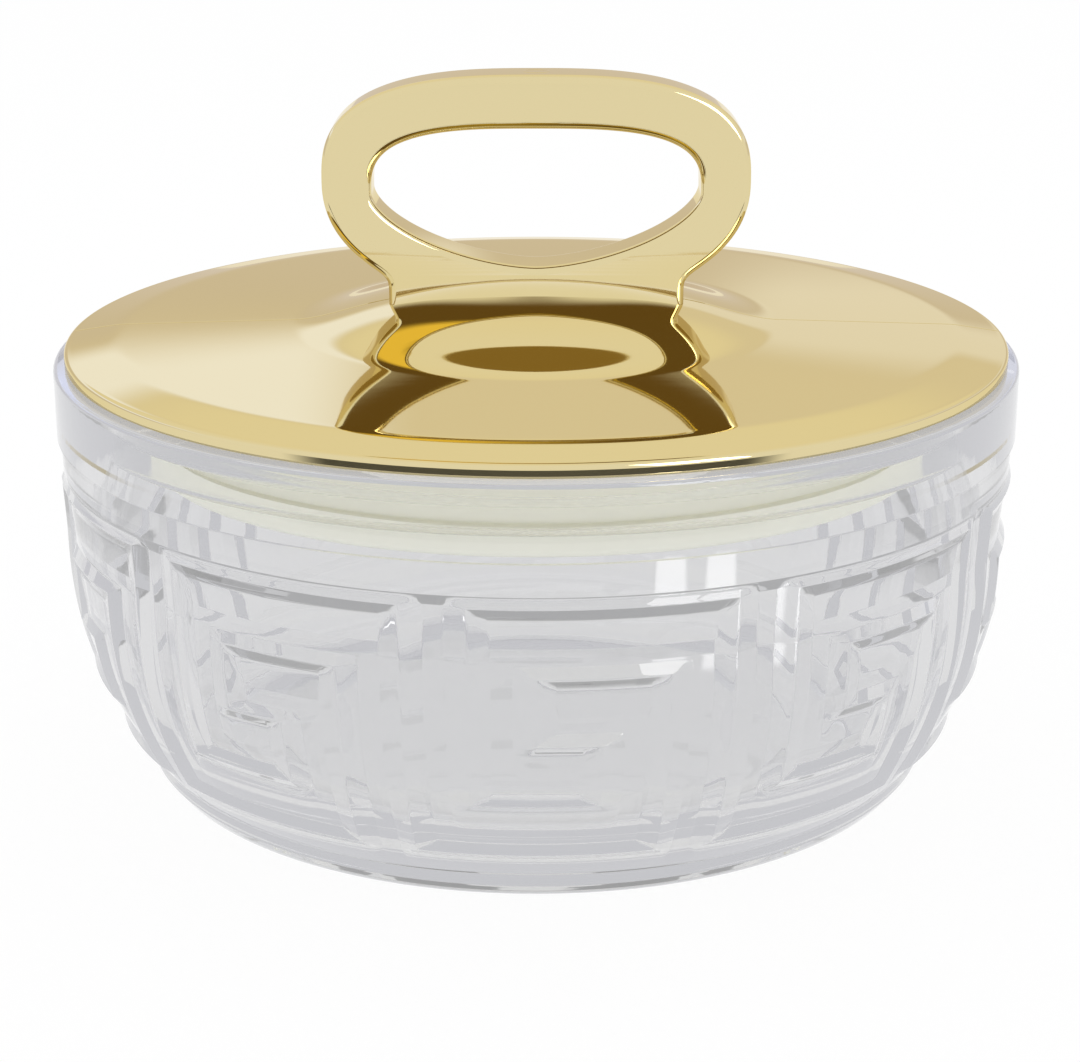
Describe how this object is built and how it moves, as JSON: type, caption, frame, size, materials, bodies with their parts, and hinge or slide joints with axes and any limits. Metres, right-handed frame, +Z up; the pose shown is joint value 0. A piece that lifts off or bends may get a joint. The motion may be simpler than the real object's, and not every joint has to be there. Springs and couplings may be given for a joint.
{
  "type": "powder jar",
  "caption": "Round clear powder jar with a raised square key line round its bowl, and a lift-off gold lid with a loop handle, an ivory plug and a soft seal.",
  "frame": {"origin": "middle of the base, on the surface that the jar stands on", "axes": "+Z up along the jar's axis, X along the handle's width, -Y towards the viewer of the picture"},
  "size_m": [0.13, 0.13, 0.0954],
  "materials": {
    "clear_wall": "clear moulded plastic, polished",
    "plated_gold": "plastic with a bright gold plating",
    "ivory_plug": "smooth moulded plastic, satin",
    "clear_seal": "clear soft rubber, satin"
  },
  "bodies": {
    "bowl": {"bowl": "clear_wall"},
    "seal": {"seal_ring": "clear_seal"},
    "lid": {"lid": "plated_gold", "lid_plug": "ivory_plug"}
  },
  "joints": [
    {"name": "lid_lift", "type": "slide", "parent": "bowl", "child": "seal", "axis": [0, 0, 1], "range_m": [0, 0.06]},
    {"name": "lid_turn", "type": "hinge", "parent": "seal", "child": "lid", "pos_m": [0, 0, 0.0525], "axis": [0, 0, 1], "continuous": true}
  ]
}
